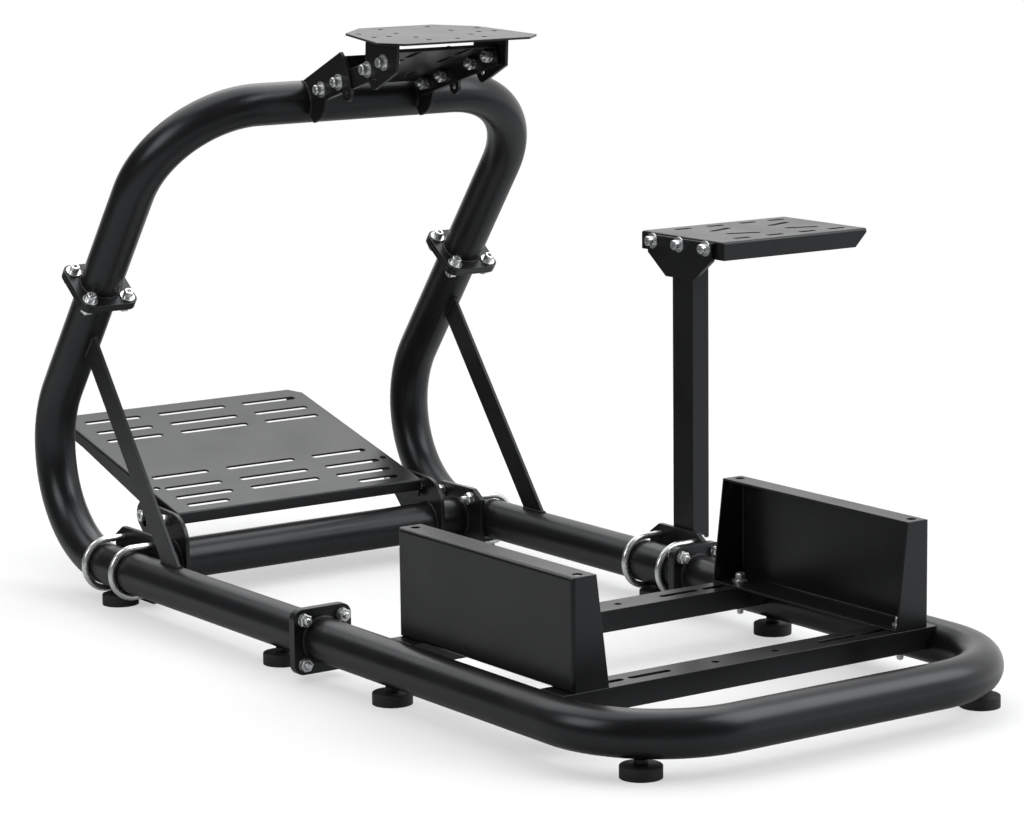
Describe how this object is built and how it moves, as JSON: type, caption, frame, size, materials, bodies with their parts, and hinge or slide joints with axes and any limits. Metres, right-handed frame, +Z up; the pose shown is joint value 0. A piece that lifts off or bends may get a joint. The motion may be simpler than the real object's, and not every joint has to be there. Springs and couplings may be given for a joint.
{
  "type": "racing wheel stand",
  "caption": "Tubular racing wheel stand with a leaning hoop carrying a wheel plate, a tilting slotted pedal plate, seat brackets on rails and a side post with a shifter tray.",
  "frame": {"origin": "on the floor, under the middle of the whole stand's bounding box", "axes": "+X to the driver's right, +Y forward to the pedals, +Z up"},
  "size_m": [0.812, 1.3596, 0.6944],
  "materials": {
    "black_powder_coat": "satin black powder coat on steel",
    "zinc_plate": "bright zinc plated steel",
    "black_rubber": "matte black rubber"
  },
  "bodies": {
    "frame": {"rear_u_tube": "black_powder_coat", "floor_flanges_rear": "black_powder_coat", "floor_flanges_front": "black_powder_coat", "side_tube_left": "black_powder_coat", "side_tube_right": "black_powder_coat", "upright_flanges_lower": "black_powder_coat", "upright_flanges_upper": "black_powder_coat", "hoop_tube": "black_powder_coat", "brace_left": "black_powder_coat", "brace_right": "black_powder_coat", "seat_rail_rear": "black_powder_coat", "seat_rail_front": "black_powder_coat", "seat_bracket_left": "black_powder_coat", "seat_bracket_right": "black_powder_coat", "pedal_clamp_left": "black_powder_coat", "pedal_clamp_right": "black_powder_coat", "pedal_u_bolts_left": "zinc_plate", "pedal_u_bolts_right": "zinc_plate", "pedal_cross_tube": "black_powder_coat", "pedal_ear_left": "black_powder_coat", "pedal_ear_right": "black_powder_coat", "pedal_pivot_bolts": "zinc_plate", "shifter_clamp": "black_powder_coat", "shifter_u_bolts": "zinc_plate", "shifter_post": "black_powder_coat", "shifter_gusset": "black_powder_coat", "shifter_tray": "black_powder_coat", "wheel_saddle_left": "black_powder_coat", "wheel_saddle_right": "black_powder_coat", "wheel_saddle_web": "black_powder_coat", "wheel_arm": "black_powder_coat", "wheel_plate": "black_powder_coat", "levelling_feet": "black_rubber", "foot_stems": "black_powder_coat"},
    "pedal_deck": {"pedal_plate": "black_powder_coat", "pedal_lock_bolts": "zinc_plate"}
  },
  "joints": [
    {"name": "pedal_tilt", "type": "hinge", "parent": "frame", "child": "pedal_deck", "pos_m": [-0.10655, 0.38982, 0.09114], "axis": [1, 0, 0], "range_deg": [-10, 10]}
  ]
}
